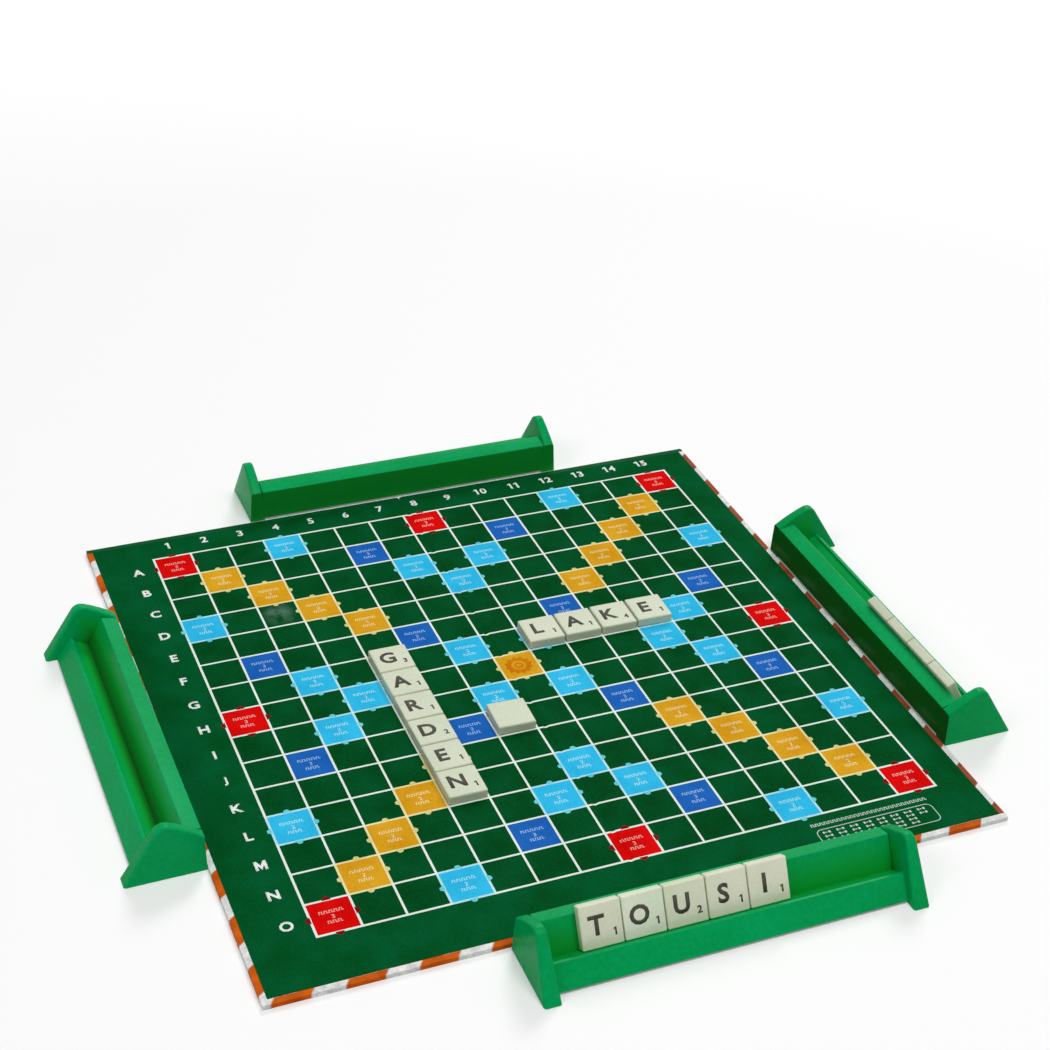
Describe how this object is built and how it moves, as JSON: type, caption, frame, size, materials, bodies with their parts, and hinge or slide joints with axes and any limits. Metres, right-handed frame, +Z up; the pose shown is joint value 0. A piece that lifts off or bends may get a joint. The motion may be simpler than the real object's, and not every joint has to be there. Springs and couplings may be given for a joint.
{
  "type": "word game board with tile racks and letter tiles",
  "caption": "Folding square-grid word game board in play, with slanted tile racks around its sides and flat letter tiles on the board and in the racks.",
  "frame": {"origin": "middle of the board's underside, on the table, which is the middle of the footprint too", "axes": "+Z up, +Y along the fold away from the front rack, +X to the right across the fold"},
  "size_m": [0.4283, 0.4282, 0.027],
  "materials": {
    "greyboard": "raw pressed board",
    "cover_paper": "satin printed paper",
    "printed_sheet": "satin printed paper",
    "rack_plastic": "glossy moulded plastic",
    "tile_plastic": "satin ivory plastic"
  },
  "bodies": {
    "board_right": {"right_core_board": "greyboard", "right_cover_sheet": "cover_paper", "right_print_sheet": "printed_sheet"},
    "board_left": {"left_core_board": "greyboard", "left_cover_sheet": "cover_paper", "left_print_sheet": "printed_sheet"},
    "rack_front": {"rack_front": "rack_plastic"},
    "rack_right": {"rack_right": "rack_plastic"},
    "rack_back": {"rack_back": "rack_plastic"},
    "rack_left": {"rack_left": "rack_plastic"},
    "column_tile_1": {"column_tile_1": "tile_plastic"},
    "column_tile_2": {"column_tile_2": "tile_plastic"},
    "column_tile_3": {"column_tile_3": "tile_plastic"},
    "column_tile_4": {"column_tile_4": "tile_plastic"},
    "column_tile_5": {"column_tile_5": "tile_plastic"},
    "column_tile_6": {"column_tile_6": "tile_plastic"},
    "blank_tile": {"blank_tile": "tile_plastic"},
    "row_tile_1": {"row_tile_1": "tile_plastic"},
    "row_tile_2": {"row_tile_2": "tile_plastic"},
    "row_tile_3": {"row_tile_3": "tile_plastic"},
    "row_tile_4": {"row_tile_4": "tile_plastic"},
    "front_rack_tile_1": {"front_rack_tile_1": "tile_plastic"},
    "front_rack_tile_2": {"front_rack_tile_2": "tile_plastic"},
    "front_rack_tile_3": {"front_rack_tile_3": "tile_plastic"},
    "front_rack_tile_4": {"front_rack_tile_4": "tile_plastic"},
    "front_rack_tile_5": {"front_rack_tile_5": "tile_plastic"},
    "right_rack_tile_1": {"right_rack_tile_1": "tile_plastic"},
    "right_rack_tile_2": {"right_rack_tile_2": "tile_plastic"},
    "right_rack_tile_3": {"right_rack_tile_3": "tile_plastic"},
    "right_rack_tile_4": {"right_rack_tile_4": "tile_plastic"}
  },
  "joints": [
    {"name": "board_fold", "type": "hinge", "parent": "board_right", "child": "board_left", "pos_m": [0, 0, 0.0024], "axis": [0, 1, 0], "range_deg": [0, 100]},
    {"name": "rack_front_slide", "type": "slide", "parent": "board_right", "child": "rack_front", "axis": [0, -1, 0], "range_m": [0, 0.06]},
    {"name": "rack_right_slide", "type": "slide", "parent": "board_right", "child": "rack_right", "axis": [1, 0, 0], "range_m": [0, 0.06]},
    {"name": "rack_back_slide", "type": "slide", "parent": "board_right", "child": "rack_back", "axis": [0, 1, 0], "range_m": [0, 0.06]},
    {"name": "rack_left_slide", "type": "slide", "parent": "board_right", "child": "rack_left", "axis": [-1, 0, 0], "range_m": [0, 0.06]},
    {"name": "column_tile_1_lift", "type": "slide", "parent": "board_left", "child": "column_tile_1", "axis": [0, 0, 1], "range_m": [0, 0.012]},
    {"name": "column_tile_2_lift", "type": "slide", "parent": "board_left", "child": "column_tile_2", "axis": [0, 0, 1], "range_m": [0, 0.012]},
    {"name": "column_tile_3_lift", "type": "slide", "parent": "board_left", "child": "column_tile_3", "axis": [0, 0, 1], "range_m": [0, 0.012]},
    {"name": "column_tile_4_lift", "type": "slide", "parent": "board_left", "child": "column_tile_4", "axis": [0, 0, 1], "range_m": [0, 0.012]},
    {"name": "column_tile_5_lift", "type": "slide", "parent": "board_left", "child": "column_tile_5", "axis": [0, 0, 1], "range_m": [0, 0.012]},
    {"name": "column_tile_6_lift", "type": "slide", "parent": "board_left", "child": "column_tile_6", "axis": [0, 0, 1], "range_m": [0, 0.012]},
    {"name": "blank_tile_lift", "type": "slide", "parent": "board_left", "child": "blank_tile", "axis": [0, 0, 1], "range_m": [0, 0.012]},
    {"name": "row_tile_1_lift", "type": "slide", "parent": "board_right", "child": "row_tile_1", "axis": [0, 0, 1], "range_m": [0, 0.012]},
    {"name": "row_tile_2_lift", "type": "slide", "parent": "board_right", "child": "row_tile_2", "axis": [0, 0, 1], "range_m": [0, 0.012]},
    {"name": "row_tile_3_lift", "type": "slide", "parent": "board_right", "child": "row_tile_3", "axis": [0, 0, 1], "range_m": [0, 0.012]},
    {"name": "row_tile_4_lift", "type": "slide", "parent": "board_right", "child": "row_tile_4", "axis": [0, 0, 1], "range_m": [0, 0.012]},
    {"name": "front_rack_tile_1_lift", "type": "slide", "parent": "rack_front", "child": "front_rack_tile_1", "axis": [0, 0.454, 0.891], "range_m": [0, 0.02]},
    {"name": "front_rack_tile_2_lift", "type": "slide", "parent": "rack_front", "child": "front_rack_tile_2", "axis": [0, 0.454, 0.891], "range_m": [0, 0.02]},
    {"name": "front_rack_tile_3_lift", "type": "slide", "parent": "rack_front", "child": "front_rack_tile_3", "axis": [0, 0.454, 0.891], "range_m": [0, 0.02]},
    {"name": "front_rack_tile_4_lift", "type": "slide", "parent": "rack_front", "child": "front_rack_tile_4", "axis": [0, 0.454, 0.891], "range_m": [0, 0.02]},
    {"name": "front_rack_tile_5_lift", "type": "slide", "parent": "rack_front", "child": "front_rack_tile_5", "axis": [0, 0.454, 0.891], "range_m": [0, 0.02]},
    {"name": "right_rack_tile_1_lift", "type": "slide", "parent": "rack_right", "child": "right_rack_tile_1", "axis": [-0.454, 0, 0.891], "range_m": [0, 0.02]},
    {"name": "right_rack_tile_2_lift", "type": "slide", "parent": "rack_right", "child": "right_rack_tile_2", "axis": [-0.454, 0, 0.891], "range_m": [0, 0.02]},
    {"name": "right_rack_tile_3_lift", "type": "slide", "parent": "rack_right", "child": "right_rack_tile_3", "axis": [-0.454, 0, 0.891], "range_m": [0, 0.02]},
    {"name": "right_rack_tile_4_lift", "type": "slide", "parent": "rack_right", "child": "right_rack_tile_4", "axis": [-0.454, 0, 0.891], "range_m": [0, 0.02]}
  ]
}
